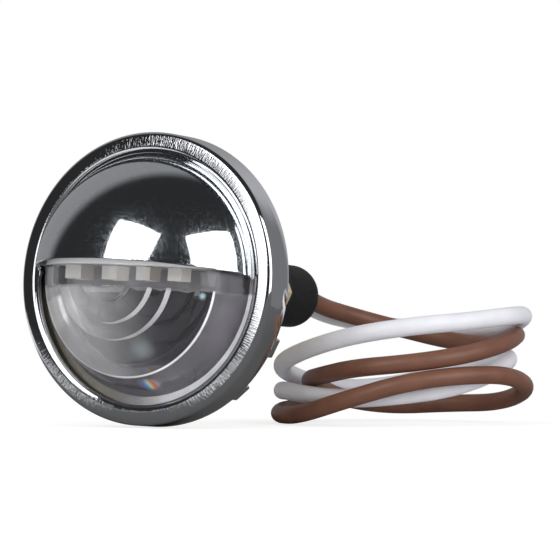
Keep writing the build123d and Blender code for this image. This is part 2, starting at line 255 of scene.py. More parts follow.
def combine(piece, other, operation):
    """Cuts a piece with another mesh, or joins it to that mesh, and deletes the other."""
    cut = piece.modifiers.new("combine", "BOOLEAN")
    cut.operation = operation
    cut.solver = "EXACT"
    cut.object = other
    apply_all(piece)
    bpy.data.objects.remove(other)


def round_edges(piece, width, segments, sharper_than):
    """Rounds the edges that are sharper than an angle in degrees."""
    rounding = piece.modifiers.new("rounding", "BEVEL")
    rounding.width = width * mm
    rounding.segments = segments
    rounding.limit_method = "ANGLE"
    rounding.angle_limit = radians(sharper_than)
    apply_all(piece)


def joined(main, pieces):
    """Joins pieces to the main one as loose parts of one mesh."""
    pick(main)
    for piece in pieces:
        piece.select_set(True)
    bpy.ops.object.join()


def seat(piece, slot, *replaced, angle=35):
    """Smooths a finished piece and sets it in the frame in place of the plain nodes."""
    pick(piece)
    bpy.ops.object.shade_smooth_by_angle(angle=radians(angle))
    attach(piece, "root")
    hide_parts(*replaced)
    print(piece.name, len(piece.data.polygons), "faces")


# %% [markdown]
# ## Chrome cover
# One pressing of thin chromed steel. Its wall runs forward to a rolled corner. The rim's front leans a
# little outwards and turns round into a valley, and a dome rises from there. The lean decides what the rim
# mirrors on each side. The outside is turned first. Then the sheet gets its thickness, and the window
# below the hood is cut last, as the press does it.

# %% Cover, turned
rim_radius = 23.0
sheet = 0.7
wall_back = -1.8
wall_rings = (wall_back, -3.2, -4.8)
foot = -6.45
foot_radius = 19.5
hood_depth = 15.5
rim_corner = 0.9
rim_crown = 1.3
crown_lean = 6
bead_height = 1.0
bead_turn = 45
valley_round = 0.25
valley_end = 165
tip_radius = 0.003
dome_rings = 72
round_segments = 224

dome_radius = (foot_radius**2 + hood_depth**2) / (2 * hood_depth)
dome_centre = foot - hood_depth + dome_radius
crest = foot - bead_height
crown_edge = rim_radius - rim_corner - rim_crown
bead_span = crown_edge - foot_radius
bead_round = (bead_span**2 + bead_height**2) / (2 * bead_height)
bead_middle = (crown_edge, crest + bead_round)
turn, apart = radians(bead_turn), bead_round + valley_round
valley_middle = (bead_middle[0] - apart * sin(turn), bead_middle[1] - apart * cos(turn))
lean = radians(crown_lean)
crown_inner = crown_edge + bead_round * sin(lean)
crown_outer = rim_radius - rim_corner + rim_corner * sin(lean)
crown_fall = bead_round * (1 - cos(lean)) + (crown_outer - crown_inner) * tan(lean)
corner_middle = (rim_radius - rim_corner, crest + crown_fall + rim_corner * cos(lean))

cover_profile = [(rim_radius, place) for place in wall_rings]
cover_profile += arc(corner_middle, rim_corner, 0, crown_lean - 90, 12)
cover_profile += arc(bead_middle, bead_round, crown_lean - 90, -90 - bead_turn, 18)
cover_profile += arc(valley_middle, valley_round, 90 - bead_turn, valley_end, 8)
dome_start = degrees(atan2(foot_radius, dome_centre - valley_middle[1]))
dome_end = degrees(tip_radius / dome_radius)
cover_profile += arc((0, dome_centre), dome_radius, dome_start - 90, dome_end - 90, dome_rings)

cover = turned("cover", cover_profile, round_segments)
wall = cover.modifiers.new("sheet", "SOLIDIFY")
wall.thickness = sheet * mm
wall.offset = -1
wall.use_even_offset = True
apply_all(cover)
print("cover sheet", len(cover.data.polygons), "faces, dome radius", round(dome_radius, 2), "mm")

# %% [markdown]
# The window's cutter is a flat disc with its top sliced off and its two corners rounded, pushed through the
# dome along a line that rises by five degrees, as the hood's edge does.

# %% Cover, window
hood_edge = 0.85
hood_rise = radians(5.0)
window_radius = foot_radius + 0.35
window_corner = 1.5
cut_start, cut_length = 4.0, 24.0
edge_round = 0.12


def window_outline(radius, top, corner, corner_steps, bottom_steps):
    """Outline of a disc with a flat top and rounded corners, from its right corner round the bottom."""
    middle_height = top - corner
    middle_across = sqrt((radius - corner) ** 2 - middle_height**2)
    low = atan2(middle_height, middle_across)
    right, bottom, left = [], [], []
    for step in range(corner_steps + 1):
        angle = pi / 2 + (low - pi / 2) * step / corner_steps
        right.append((middle_across + corner * cos(angle), middle_height + corner * sin(angle)))
        left.insert(0, (-right[-1][0], right[-1][1]))
    for step in range(1, bottom_steps):
        angle = low - (pi + 2 * low) * step / bottom_steps
        bottom.append((radius * cos(angle), radius * sin(angle)))
    return right + bottom + left


outline = window_outline(window_radius, hood_edge, window_corner, 10, 160)
bpy.ops.object.select_all(action="DESELECT")
bpy.ops.mesh.primitive_circle_add(vertices=len(outline), radius=window_radius * mm, fill_type="NGON")
cutter = begin("window_cutter")
for vertex, (across, up) in zip(cutter.data.vertices, outline):
    vertex.co = (across * mm, (foot + cut_start) * mm, (up - cut_start * tan(hood_rise)) * mm)
bpy.ops.object.mode_set(mode="EDIT")
bpy.ops.mesh.select_all(action="SELECT")
bpy.ops.mesh.extrude_region_move(
    TRANSFORM_OT_translate={"value": (0, -cut_length * mm, cut_length * tan(hood_rise) * mm)}
)
bpy.ops.mesh.select_all(action="SELECT")
bpy.ops.mesh.normals_make_consistent(inside=False)
bpy.ops.object.mode_set(mode="OBJECT")
combine(cover, cutter, "DIFFERENCE")
round_edges(cover, edge_round, 2, 50)
print("cover with its window", len(cover.data.polygons), "faces")

# %% [markdown]
# Small tabs at the wall's back edge are folded inwards and hold the plate. One tab is drawn from a cube: one
# side is pulled forward along the wall, one is pulled inwards over the plate, and the bend is rounded. It is
# then copied to its other places.

# %% Cover, tabs
tab_angles = (-25.9, -48.6, -131.4, -154.1, 90.0)
tab_width = 3.2
tab_reach = 2.5
tab_back = -0.4
tab_front = tab_back - sheet
tab_overlap = 0.4
tab_bend = 0.25


def select_faces(piece, wanted):
    """Goes to edit mode with only the faces selected whose normal is close to the wanted one."""
    bpy.context.view_layer.objects.active = piece
    bpy.ops.object.mode_set(mode="EDIT")
    bpy.ops.mesh.select_mode(type="FACE")
    bpy.ops.mesh.select_all(action="DESELECT")
    bpy.ops.object.mode_set(mode="OBJECT")
    for face in piece.data.polygons:
        face.select = face.normal.dot(wanted) > 0.9
    bpy.ops.object.mode_set(mode="EDIT")


bpy.ops.object.select_all(action="DESELECT")
bpy.ops.mesh.primitive_cube_add(
    size=1,
    location=((rim_radius - sheet / 2) * mm, (tab_back - sheet / 2) * mm, 0),
    scale=(sheet * mm, sheet * mm, tab_width * mm),
)
tab = begin("tab")
select_faces(tab, Vector((0, -1, 0)))
along_wall = tab_front - wall_back + tab_overlap
bpy.ops.mesh.extrude_region_move(TRANSFORM_OT_translate={"value": (0, -along_wall * mm, 0)})
bpy.ops.object.mode_set(mode="OBJECT")
select_faces(tab, Vector((-1, 0, 0)))
bpy.ops.object.mode_set(mode="OBJECT")
for face in tab.data.polygons:
    face.select = face.select and face.center.y > tab_front * mm
bpy.ops.object.mode_set(mode="EDIT")
bpy.ops.mesh.extrude_region_move(TRANSFORM_OT_translate={"value": (-(tab_reach - sheet) * mm, 0, 0)})
bpy.ops.object.mode_set(mode="OBJECT")
round_edges(tab, tab_bend, 3, 60)

tabs = []
for angle in tab_angles:
    copy = tab.copy()
    copy.data = tab.data.copy()
    bpy.context.scene.collection.objects.link(copy)
    copy.data.transform(Matrix.Rotation(-radians(angle), 4, "Y"))
    tabs.append(copy)
bpy.data.objects.remove(tab)
joined(cover, tabs)
seat(cover, "chrome_sheet", "chrome_cover", angle=40)

# %% [markdown]
# ## Lens
# A clear moulding with a clamped flange. In front of the LEDs it is smooth. Below them its front rises in
# round terraces, each with a short wall and a broad tread, so that the light falls on the plate. Both parts
# are turned as solids, sliced at the shelf between them and joined with the flange into one closed mesh,
# because clear pieces that only overlap would show a false surface inside.

# %% Lens profiles
flange_front = -5.75
gasket_front = -3.75
flange_radius = 21.8
lens_foot = 18.435
lens_rim = 1.25
lens_tip = -19.35
lens_curve = 15.5
lens_step = 1.2
lens_draft = 0.15
lens_lead = 0.25
lens_wall = 1.6
lip_radii = (15.7, 13.6, 10.1, 7.6, 4.5)
lip_bevel = ((0.075, 0.16), (-0.2, -0.075))
nose = ((2.6, 0.42), (1.2, 0.09), (tip_radius, 0.0))
centre_skin = 2.5
mouth = gasket_front - 0.3
smooth_rings = 48


def lip(radius):
    """Place along Y of the lens front at a radius."""
    return lens_tip + radius**2 / (2 * lens_curve)


outer_lip_radius = lip_radii[0]
outer_edge = lip(outer_lip_radius)
shoulder_radius = outer_lip_radius - lens_wall
shoulder = outer_edge + lens_step
cavity_tip = lens_tip + centre_skin
cavity_rise = shoulder - cavity_tip
cavity_dome = (shoulder_radius**2 + cavity_rise**2) / (2 * cavity_rise)
cavity_centre = cavity_tip + cavity_dome
cavity_turn = degrees(atan2(shoulder_radius, cavity_centre - shoulder))
cavity_start = degrees(tip_radius / cavity_dome)

inside = arc((0, cavity_centre), cavity_dome, cavity_start - 90, cavity_turn - 90, 40)
inside += [(lens_foot - lens_rim, mouth), (lens_foot, mouth), (lens_foot, flange_front)]
stepped = list(inside)
for across, along in lip_bevel:
    stepped.append((outer_lip_radius + across, outer_edge + along))
for radius in lip_radii[1:]:
    stepped.append((radius, lip(radius) + lens_step))
    stepped.append((radius - lens_draft, lip(radius)))
stepped += [(radius, lens_tip + along) for radius, along in nose]
smooth = list(inside)
for step in range(smooth_rings + 1):
    share = 1 - step / smooth_rings
    radius = max(outer_lip_radius * share, tip_radius)
    smooth.append((radius, lip(radius) - lens_lead * (1 - share**4)))
print("lens profiles with", len(stepped), "and", len(smooth), "points")

# %% Lens, joined
shelf = -1.8
lens_top = hood_edge + 1.2
overlap = 0.02
ring_radius = lens_foot - lens_rim - 0.05
lens_round = 0.09
slice_weld = 0.0005


def sliced(piece, height, tilt, keep_below):
    """Cuts a closed piece by a plane at a height above the axis and closes the cut."""
    bpy.context.view_layer.objects.active = piece
    bpy.ops.object.mode_set(mode="EDIT")
    bpy.ops.mesh.select_all(action="SELECT")
    bpy.ops.mesh.bisect(
        plane_co=(0, foot * mm, height * mm),
        plane_no=(0, sin(tilt), cos(tilt)),
        use_fill=True,
        clear_outer=keep_below,
        clear_inner=not keep_below,
        threshold=slice_weld * mm,
    )
    bpy.ops.object.mode_set(mode="OBJECT")


lens = turned("lens_body", stepped, round_segments)
sliced(lens, shelf + overlap, 0, keep_below=True)
band = turned("lens_band", smooth, round_segments)
sliced(band, lens_top, hood_rise, keep_below=True)
sliced(band, shelf, 0, keep_below=False)
combine(lens, band, "UNION")
flange_corners = [(ring_radius, gasket_front), (flange_radius, gasket_front)]
flange_corners += [(flange_radius, flange_front), (ring_radius, flange_front), (ring_radius, gasket_front)]
combine(lens, turned("lens_flange", flange_corners, round_segments), "UNION")
round_edges(lens, lens_round, 2, 35)
seat(lens, "clear_lens", "lens", angle=30)

# %% [markdown]
# ## Stud and boot
# The hollow stud carries a fine thread along its length, with a plain spigot at its end for the boot. The
# core is turned, and the thread is one small tooth that the Screw modifier winds round it, one pitch for
# each turn.

# %% Stud with its thread
stud_bore = 3.2
stud_core = 4.55
stud_spigot = 4.2
stud_head = 7.0
head_front, head_back = -2.5, -1.0
thread_end, spigot_start, stud_end = 28.6, 29.0, 35.0
stud_profile = [(stud_bore, head_front), (stud_head - 0.4, head_front), (stud_head, head_front + 0.3)]
stud_profile += [(stud_head, head_back), (stud_core, head_back), (stud_core, thread_end)]
stud_profile += [(stud_spigot, spigot_start), (stud_spigot, stud_end), (stud_bore, stud_end)]
stud_profile += [(stud_bore, head_front)]
stud = turned("stud", stud_profile, 96)

pitch = 1.0
thread_start = -0.95
thread_turns = 28
thread_segments = 48
thread_weld = 0.002
tooth = ((4.5, 0.0), (4.5, 0.86), (4.99, 0.36), (4.99, 0.5))
bpy.ops.object.select_all(action="DESELECT")
bpy.ops.mesh.primitive_plane_add(size=1)
thread = begin("thread")
for vertex, (radius, along) in zip(thread.data.vertices, tooth):
    vertex.co = (radius * mm, (thread_start + along) * mm, 0)
winding = thread.modifiers.new("winding", "SCREW")
winding.axis = "Y"
winding.screw_offset = pitch * mm
winding.iterations = thread_turns
winding.steps = thread_segments
winding.render_steps = thread_segments
apply_all(thread)
bpy.ops.object.mode_set(mode="EDIT")
bpy.ops.mesh.select_all(action="SELECT")
bpy.ops.mesh.remove_doubles(threshold=thread_weld * mm)
bpy.ops.mesh.normals_make_consistent(inside=False)
bpy.ops.object.mode_set(mode="OBJECT")
joined(stud, [thread])
seat(stud, "zinc_steel", "hollow_stud")

# %% [markdown]
# The boot is a moulded rubber cap with a generous round at its end. A thin lip at its mouth grips the stud,
# and behind the lip the rubber is a little slimmer.

# %% Boot
boot_bore = 4.25
boot_radius = 5.15
boot_mouth, boot_end = 29.0, 41.0
boot_round = 3.0
boot_profile = [(boot_bore, stud_end), (boot_bore, boot_mouth), (boot_radius - 0.25, boot_mouth)]
boot_profile += [(boot_radius, boot_mouth + 0.2), (boot_radius, boot_mouth + 0.9)]
boot_profile += [(boot_radius - 0.13, boot_mouth + 1.1), (boot_radius - 0.07, boot_mouth + 2.0)]
boot_profile += [(boot_radius, boot_mouth + along) for along in (4.0, 6.5, 8.6)]
boot_profile += arc((boot_radius - boot_round, boot_end - boot_round), boot_round, 0, 90, 14)
boot_profile += [(1.0, boot_end), (tip_radius, boot_end)]
boot = turned("boot", boot_profile, 128)
seat(boot, "black_rubber", "rubber_boot", angle=50)

# %% [markdown]
# ## Finishes
# Each finish starts from one shader and gets the small unevenness that the real surface has. The patterns
# read Object coordinates, so they stay on the piece from every side.

# %% Helpers for finishes


def shader_of(material):
    """The main shader of a material."""
    return material.node_tree.nodes["Principled BSDF"]


def finish(name, color, roughness, metallic=0.0):
    """A new material with an even colour and gloss."""
    material = bpy.data.materials.new(name)
    material.use_nodes = True
    shader = shader_of(material)
    shader.inputs["Base Color"].default_value = (*color, 1)
    shader.inputs["Roughness"].default_value = roughness
    shader.inputs["Metallic"].default_value = metallic
    return material


def dress(material, *pieces):
    """Gives a material to pieces, in place of what they had."""
    for piece in pieces:
        if not piece.material_slots:
            piece.data.materials.append(material)
        for slot in piece.material_slots:
            slot.material = material
    print(material.name, "on", ", ".join(piece.name for piece in pieces))


def grain(material, size, detail=3.0, stretch=(1, 1, 1)):
    """Noise with spots of about a size in mm."""
    tree = material.node_tree
    place = tree.nodes.new("ShaderNodeTexCoord")
    turn = tree.nodes.new("ShaderNodeMapping")
    turn.inputs["Scale"].default_value = stretch
    noise = tree.nodes.new("ShaderNodeTexNoise")
    noise.inputs["Scale"].default_value = 1 / (size * mm)
    noise.inputs["Detail"].default_value = detail
    tree.links.new(place.outputs["Object"], turn.inputs["Vector"])
    tree.links.new(turn.outputs["Vector"], noise.inputs["Vector"])
    return noise.outputs["Fac"]


def math(material, operation, first, second):
    """A Math node on sockets or plain numbers."""
    node = material.node_tree.nodes.new("ShaderNodeMath")
    node.operation = operation
    for socket, value in zip(node.inputs, (first, second)):
        if isinstance(value, (int, float)):
            socket.default_value = value
        else:
            material.node_tree.links.new(value, socket)
    return node.outputs["Value"]


def spread(material, value, low, high, to_low=0.0, to_high=1.0):
    """Maps a value softly from one range to another."""
    node = material.node_tree.nodes.new("ShaderNodeMapRange")
    node.interpolation_type = "SMOOTHSTEP"
    node.inputs["From Min"].default_value = low
    node.inputs["From Max"].default_value = high
    node.inputs["To Min"].default_value = to_low
    node.inputs["To Max"].default_value = to_high
    material.node_tree.links.new(value, node.inputs["Value"])
    return node.outputs["Result"]


# %% [markdown]
# Colours come from ramps, and relief from bumps. Some finishes also ask where a place is or which way it
# faces, so the last helper splits that answer into its three parts.

# %% Helpers for colour, relief and place


def ramp_of(material, value, *stops):
    """Colours from a value, with stops of a position and a colour."""
    ramp = material.node_tree.nodes.new("ShaderNodeValToRGB")
    while len(ramp.color_ramp.elements) < len(stops):
        ramp.color_ramp.elements.new(0.5)
    for element, (position, color) in zip(ramp.color_ramp.elements, stops):
        element.position = position
        element.color = (*color, 1)
    material.node_tree.links.new(value, ramp.inputs["Fac"])
    return ramp.outputs["Color"]


def tint(material, value, *stops):
    """Colours a material's shader by a value."""
    color = ramp_of(material, value, *stops)
    material.node_tree.links.new(color, shader_of(material).inputs["Base Color"])
    return color


def relief(material, height, depth):
    """Bumps a material's surface by a height, with a depth in mm."""
    bump = material.node_tree.nodes.new("ShaderNodeBump")
    bump.inputs["Distance"].default_value = depth * mm
    material.node_tree.links.new(height, bump.inputs["Height"])
    material.node_tree.links.new(bump.outputs["Normal"], shader_of(material).inputs["Normal"])


def parts_of(material, kind="Object"):
    """The place on the piece, or its Normal, as three sockets called X, Y and Z."""
    place = material.node_tree.nodes.new("ShaderNodeTexCoord")
    split = material.node_tree.nodes.new("ShaderNodeSeparateXYZ")
    material.node_tree.links.new(place.outputs[kind], split.inputs["Vector"])
    return split.outputs


# %% [markdown]
# ### Chrome
# Bright chrome is almost a mirror, so its look is mostly what stands around it. Close up, the plate is
# covered with fine dull specks, which put a bluish, grainy fringe around each reflection. On the rim, where
# the sheet was drawn over a sharp radius, short marks run outwards from the axis. They are noise on angle and
# radius, and they are deepest at the top and the bottom.

# %% Chrome
bright, bluish = (0.80, 0.81, 0.83), (0.62, 0.72, 0.82)
marks_around, marks_outwards = 110.0, 700.0
marks_depth = (1.0, 3.2)
polish, speck_gloss = 0.04, 0.26

chrome = finish("chrome", bright, 0.05, 1.0)
tree = chrome.node_tree
parts = parts_of(chrome)
x, z = parts["X"], parts["Z"]
squares = math(chrome, "ADD", math(chrome, "POWER", x, 2.0), math(chrome, "POWER", z, 2.0))
from_axis = math(chrome, "SQRT", squares, 0.0)
polar = tree.nodes.new("ShaderNodeCombineXYZ")
around = math(chrome, "ARCTAN2", x, z)
tree.links.new(math(chrome, "MULTIPLY", around, marks_around), polar.inputs["X"])
tree.links.new(math(chrome, "MULTIPLY", from_axis, marks_outwards), polar.inputs["Y"])
streaks = tree.nodes.new("ShaderNodeTexNoise")
streaks.inputs["Scale"].default_value = 1.0
streaks.inputs["Detail"].default_value = 2.0
tree.links.new(polar.outputs["Vector"], streaks.inputs["Vector"])
on_rim = spread(chrome, from_axis, 20.2 * mm, 20.9 * mm)
before_wall = spread(chrome, from_axis, 22.5 * mm, 22.9 * mm, 1.0, 0.0)
marks = math(chrome, "MULTIPLY", math(chrome, "MULTIPLY", on_rim, before_wall), streaks.outputs["Fac"])
strength = spread(chrome, math(chrome, "ABSOLUTE", z, 0.0), 10 * mm, 19 * mm, *marks_depth)
peel = math(chrome, "MULTIPLY", grain(chrome, 0.3, 1.0), 0.25)
relief(chrome, math(chrome, "ADD", math(chrome, "MULTIPLY", marks, strength), peel), 0.012)
on_dome = spread(chrome, from_axis, 19.2 * mm, 19.6 * mm, 1.0, 0.3)
specks = math(chrome, "MULTIPLY", spread(chrome, grain(chrome, 0.2, 1.0), 0.48, 0.7), on_dome)
tint(chrome, specks, (0.0, bright), (1.0, bluish))
gloss = spread(chrome, specks, 0.0, 1.0, polish, speck_gloss)
tree.links.new(gloss, shader_of(chrome).inputs["Roughness"])
dress(chrome, cover)

# %% [markdown]
# ### Clear plastic
# The lens is clear, but it isn't spotless: its step walls and its side wall are lightly etched, as moulds
# leave them, and so is its edge below the hood. Haze is made by letting part of the light scatter instead of
# passing. The clear lens is also made a little milky towards the left, which is a painted sheen for light on
# that side, and a thin band at the outer lip is hazed as a painted highlight. The etched faces also have a
# fine relief.

# %% Lens materials
clear_tone = (0.97, 0.97, 0.98)
flange_tone, zinc_reflection_tint = (0.93, 0.92, 0.93), (0.62, 0.58, 0.42)


def plastic(name, color, roughness, haze_left, haze_right):
    """Clear plastic that scatters a share of the light, from its left side to its right side."""
    material = finish(name, color, roughness)
    shader = shader_of(material)
    shader.inputs["IOR"].default_value = 1.49
    parts = parts_of(material)
    # The haze changes from left to right; on the clear lens the milkier left is a painted sheen.
    sideways = spread(material, parts["X"], -6 * mm, 9 * mm, haze_left, haze_right)
    under_hood = spread(material, parts["Z"], 1.3 * mm, 1.6 * mm, 0.0, 0.95)
    below_shelf = spread(material, parts["Z"], -2.2 * mm, -1.7 * mm, 1.0, 0.25)
    cloudy = math(material, "ADD", math(material, "MULTIPLY", grain(material, 5.0), 1.1), 0.45)
    veil = math(material, "MULTIPLY", math(material, "MULTIPLY", sideways, below_shelf), cloudy)
    passing = math(material, "SUBTRACT", 1.0, math(material, "ADD", veil, under_hood))
    material.node_tree.links.new(passing, shader.inputs["Transmission Weight"])
    return material


# Painted sheen: the clear lens is milkier on its left side.
clear = plastic("clear_plastic", clear_tone, 0.04, 0.2, 0.012)
relief(clear, grain(clear, 2.5, 1.0), 0.002)
etched = plastic("etched_plastic", (0.80, 0.78, 0.84), 0.25, 0.01, 0.15)
step_wall = plastic("etched_step", (0.95, 0.95, 0.97), 0.25, 0.45, 0.5)
flange_face = plastic("etched_flange", flange_tone, 0.2, 0.05, 0.7)
# Painted highlight: a thin hazed band at the outer lip shows as a bright line.
outer_lip = plastic("painted_lip_highlight", clear_tone, 0.2, 0.4, 0.85)
etched_plastics = (etched, step_wall, flange_face, outer_lip)
for material in etched_plastics:
    relief(material, grain(material, 0.25, 2.0), 0.02)
# Painted reflection: the flange is tinted olive towards the left, for the zinc plate showing in it.
x = parts_of(flange_face)["X"]
tint(flange_face, spread(flange_face, x, -9 * mm, 1 * mm), (0.0, zinc_reflection_tint), (1.0, flange_tone))
print("etched plastics", [material.name for material in etched_plastics])

# %% [markdown]
# A small patch of rainbow colours is painted on the etched wall, at the bottom and a little to the right:
# a painted glint of light that the plastic splits into its colours. A ramp along X gives the order of the
# colours, and the distance from the middle of the patch fades them out. The etched wall is also painted
# darker on its left and lighter on its right, as painted shade and light. On the clear face there are two
# painted
# bluish glints: a small spark near the shelf and a broad, weak wash below.

# %% Lens, painted rainbow and glints
rainbow_glint_middle = (3.4, -9.0, -16.6)
spark_middle = (13.9, -12.2, -2.7)
broad_glint_middle = (4.6, -13.9, -11.4)
shaded, lit_side = (0.3, 0.29, 0.35), (0.8, 0.78, 0.84)
rainbow = (
    (0.0, (0.10, 0.12, 0.6)),
    (0.3, (0.15, 0.5, 0.95)),
    (0.5, (0.9, 0.95, 0.8)),
    (0.62, (0.95, 0.6, 0.1)),
    (0.8, (0.8, 0.2, 0.15)),
    (1.0, (0.6, 0.5, 0.62)),
)


def near_to(material, middle, full, end):
    """A value that falls from 1 to 0 around a place in mm, between two distances."""
    tree = material.node_tree
    offset = tree.nodes.new("ShaderNodeVectorMath")
    offset.operation = "DISTANCE"
    place = tree.nodes.new("ShaderNodeTexCoord")
    tree.links.new(place.outputs["Object"], offset.inputs[0])
    offset.inputs[1].default_value = [value * mm for value in middle]
    return spread(material, offset.outputs["Value"], full * mm, end * mm, 1.0, 0.0)


def scatter_more(material, share):
    """Lets a further share of the light scatter."""
    weight = shader_of(material).inputs["Transmission Weight"]
    passing = weight.links[0].from_socket
    material.node_tree.links.new(math(material, "SUBTRACT", passing, share), weight)


x = parts_of(etched)["X"]
tree = etched.node_tree
# Painted glint: a small rainbow patch on the etched wall.
near = near_to(etched, rainbow_glint_middle, 0.6, 2.3)
blend = tree.nodes.new("ShaderNodeMix")
blend.data_type = "RGBA"
# Painted shade and light: the etched wall is darker on its left and lighter on its right.
shade = tint(etched, spread(etched, x, -2 * mm, 7 * mm), (0.0, shaded), (1.0, lit_side))
tree.links.new(shade, blend.inputs["A"])
tree.links.new(near, blend.inputs["Factor"])
tree.links.new(ramp_of(etched, spread(etched, x, 1.5 * mm, 5.0 * mm), *rainbow), blend.inputs["B"])
tree.links.new(blend.outputs["Result"], shader_of(etched).inputs["Base Color"])
scatter_more(etched, math(etched, "MULTIPLY", near, 0.5))

# Painted glints: a bluish spark and a broad bluish wash on the clear face.
spark = near_to(clear, spark_middle, 0.1, 0.8)
broad_glint = math(clear, "MULTIPLY", near_to(clear, broad_glint_middle, 0.0, 2.8), 0.2)
glint = math(clear, "MAXIMUM", spark, broad_glint)
tint(clear, glint, (0.0, clear_tone), (0.5, (0.5, 0.8, 0.88)), (1.0, (0.75, 0.95, 1.0)))
scatter_more(clear, math(clear, "MULTIPLY", glint, 0.6))
print("painted rainbow at", rainbow_glint_middle, "and glints at", spark_middle, broad_glint_middle)

# %% [markdown]
# Each face of the lens now gets its plastic, by its place and by how far it faces away from the axis. Shadow
# rays pass the lens freely, because the lamp's inside would stay black otherwise.

# %% Lens, faces
on_wall, on_step, on_flange, on_lip = 1, 2, 3, 4
lip_offset, lip_reach, lip_depth = -0.06, 0.17, 0.2
step_inner, step_outer = 5.0, 12.0
close_to = 0.05
leaning, upright = 0.2, 0.9

dress(clear, lens)
for material in etched_plastics:
    lens.data.materials.append(material)
counts = [0, 0, 0, 0, 0]
for face in lens.data.polygons:
    middle = face.center / mm
    out = sqrt(middle.x**2 + middle.z**2)
    radial = (face.normal.x * middle.x + face.normal.z * middle.z) / max(out, 0.01)
    at_lip = abs(out - outer_lip_radius - lip_offset) < lip_reach and abs(middle.y - outer_edge) < lip_depth
    at_wall = outer_lip_radius < out <= lens_foot + close_to and middle.y < flange_front
    at_step = step_inner < out < step_outer and middle.y < shoulder and middle.z < shelf
    if abs(middle.y - flange_front) < close_to and out > lens_foot:
        face.material_index = on_flange
    elif at_lip and middle.z < shelf:
        face.material_index = on_lip
    elif radial > leaning and at_wall:
        face.material_index = on_wall
    elif radial > upright and at_step:
        face.material_index = on_step
    counts[face.material_index] += 1
lens.visible_shadow = False
print("lens faces, clear, wall, steps, flange and lip", counts)

# %% [markdown]
# ### Yellow zinc
# The plate, stud, nut and washer are zinc-plated and dipped in yellow chromate. The dip never comes out even:
# it drifts from olive and straw to a bluish violet. The plate's zinc is a little duller, and its faces that
# look into the lamp, with those of the front of the stud's head, are painted dark: painted shade inside the
# lamp.

# %% Zinc
straw, olive, violet = (0.76, 0.68, 0.44), (0.55, 0.49, 0.28), (0.47, 0.42, 0.46)
inside_shade = (0.08, 0.075, 0.09)
inside_lamp = -0.9

zinc = finish("yellow_zinc", straw, 0.35, 0.5)
tint(zinc, grain(zinc, 6.0), (0.3, olive), (0.5, straw), (0.72, violet))
relief(zinc, grain(zinc, 0.2, 2.0), 0.01)
dress(zinc, stud, nodes["hex_nut"], nodes["lock_washer"])

plate_zinc = finish("plate_zinc", straw, 0.42, 0.85)
# Painted shade: faces that look into the lamp are painted dark.
outside = spread(plate_zinc, parts_of(plate_zinc, "Normal")["Y"], -0.3, 0.3, 0.0, 0.8)
drift = math(plate_zinc, "MULTIPLY", grain(plate_zinc, 7.0), 0.2)
stops = ((0.0, inside_shade), (0.2, inside_shade), (0.8, olive), (1.0, straw))
tint(plate_zinc, math(plate_zinc, "ADD", outside, drift), *stops)
relief(plate_zinc, grain(plate_zinc, 0.2, 2.0), 0.01)
dress(plate_zinc, nodes["base_plate"])
stud.data.materials.append(plate_zinc)
for face in stud.data.polygons:
    if face.center.y < inside_lamp * mm:
        face.material_index = 1

# %% [markdown]
# ### Rubber and wires
# The boot and the gasket are black rubber with a soft sheen and a fine dusty grain. The wires are satin PVC:
# the colour drifts a little, and a slow waviness from the extruder breaks up the gloss.

# %% Rubber and insulation
rubber = finish("black_rubber", (0.009, 0.009, 0.01), 0.55)
shader_of(rubber).inputs["Specular IOR Level"].default_value = 0.3
tint(rubber, grain(rubber, 0.6), (0.35, (0.007, 0.007, 0.008)), (0.75, (0.014, 0.014, 0.015)))
relief(rubber, grain(rubber, 0.15, 1.0), 0.02)
dress(rubber, boot, nodes["lens_gasket"])

brown = finish("brown_insulation", (0.165, 0.07, 0.042), 0.4)
tint(brown, grain(brown, 4.0), (0.3, (0.15, 0.062, 0.037)), (0.7, (0.185, 0.08, 0.049)))
relief(brown, grain(brown, 1.2, 2.0), 0.02)
dress(brown, brown_wire, nodes["brown_wire_inner"])

white = finish("white_insulation", (0.71, 0.71, 0.75), 0.38)
tint(white, grain(white, 4.0), (0.3, (0.67, 0.67, 0.72)), (0.7, (0.74, 0.74, 0.78)))
relief(white, grain(white, 1.2, 2.0), 0.02)
dress(white, white_wire, nodes["white_wire_inner"])

# %% [markdown]
# ### Light unit
# The board has a pale solder mask. Each LED is a white moulded package with tinned leads folded round its two
# ends, so its end faces are darker and shinier than its front. The mesh has no separate leads, so the finish
# tells the end faces by their normal. The ends of LEDs 1 and 3 are darker than those of LEDs 2 and 4, though
# the four are alike: painted shade on the first two and painted light on the others. The LEDs are off, and a
# faint glow on the packages is painted light that brightens them in the shade of the hood.

# %% Light unit
steel = finish("bracket_steel", (0.5, 0.49, 0.52), 0.45, 0.3)
tint(steel, grain(steel, 1.5), (0.3, (0.45, 0.44, 0.47)), (0.7, (0.55, 0.54, 0.57)))
relief(steel, grain(steel, 0.4, 2.0, (1, 1, 8)), 0.02)
dress(steel, nodes["board_bracket"])

mask = finish("board_mask", (0.82, 0.82, 0.79), 0.45)
tint(mask, grain(mask, 1.2), (0.3, (0.76, 0.76, 0.73)), (0.7, (0.86, 0.86, 0.83)))
relief(mask, grain(mask, 0.3, 2.0), 0.02)
dress(mask, nodes["led_board"])

led_white, led_cream = (0.94, 0.92, 0.88), (0.88, 0.86, 0.81)
painted_led_light = 0.13


